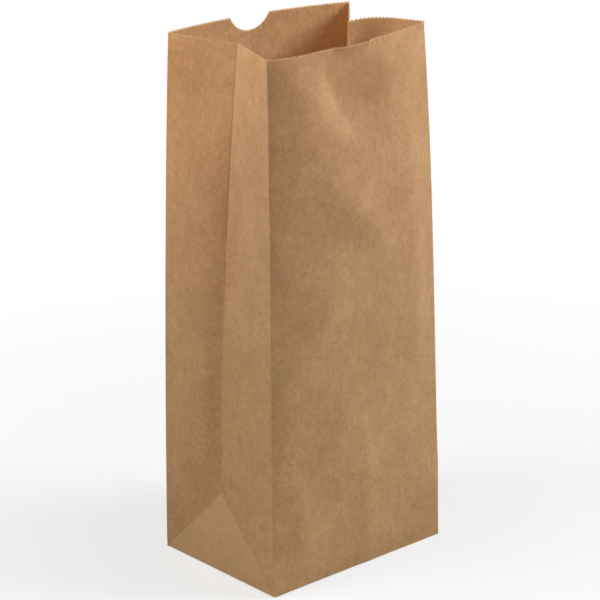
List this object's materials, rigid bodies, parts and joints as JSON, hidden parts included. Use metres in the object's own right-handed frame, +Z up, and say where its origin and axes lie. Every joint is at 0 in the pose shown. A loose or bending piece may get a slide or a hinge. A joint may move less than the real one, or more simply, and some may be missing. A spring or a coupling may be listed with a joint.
{
  "type": "paper lunch bag",
  "caption": "Open kraft paper bag with a square folded base, gusseted sides, saw-toothed rim and a thumb notch in one wide panel, for carrying food.",
  "frame": {"origin": "centre of the bounding box at its lowest level, which is the underside of the folded base", "axes": "+X along the wide panels, +Y towards the wide panel with the thumb notch, +Z up towards the open rim"},
  "size_m": [0.1342, 0.1038, 0.3052],
  "materials": {
    "kraft_paper": "matt, uncoated brown kraft"
  },
  "bodies": {
    "root": {"paper_bag": "kraft_paper"}
  },
  "joints": []
}
